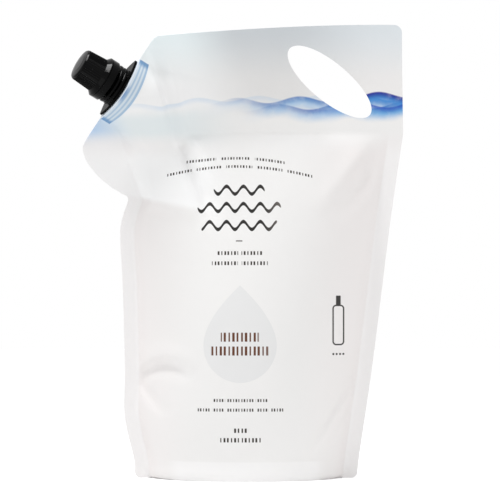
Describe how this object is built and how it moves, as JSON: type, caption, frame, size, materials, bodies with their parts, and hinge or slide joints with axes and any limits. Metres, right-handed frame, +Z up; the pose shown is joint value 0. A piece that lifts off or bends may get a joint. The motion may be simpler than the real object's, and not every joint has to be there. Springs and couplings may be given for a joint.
{
  "type": "body wash refill",
  "caption": "Filled stand-up refill pouch of pale film with an oblique hand hole, a welded corner spout and a ribbed screw cap.",
  "frame": {"origin": "on the floor at the middle of the base, in the plane of the side seals", "axes": "+X to the right seen from the front, +Y towards the back, +Z up"},
  "size_m": [0.247, 0.094, 0.3397],
  "materials": {
    "film": "matt translucent white film with a blue printed header",
    "spout_plastic": "satin black moulded plastic",
    "cap_plastic": "gloss black moulded plastic"
  },
  "bodies": {
    "pack": {"pouch": "film", "spout": "spout_plastic"},
    "band": {"tamper_band": "cap_plastic"},
    "screw_cap": {"cap": "cap_plastic"}
  },
  "joints": [
    {"name": "cap_turn", "type": "hinge", "parent": "pack", "child": "band", "pos_m": [-0.09512, -0.02482, 0.29062], "axis": [-0.8072, -0.3442, 0.4796], "range_deg": [0, 720]},
    {"name": "cap_rise", "type": "slide", "parent": "band", "child": "screw_cap", "axis": [-0.8072, -0.3442, 0.4796], "range_m": [0, 0.008]}
  ],
  "couplings": [
    {"joint": "cap_rise", "follows": "cap_turn", "m_per_rad": 0.00063662}
  ]
}
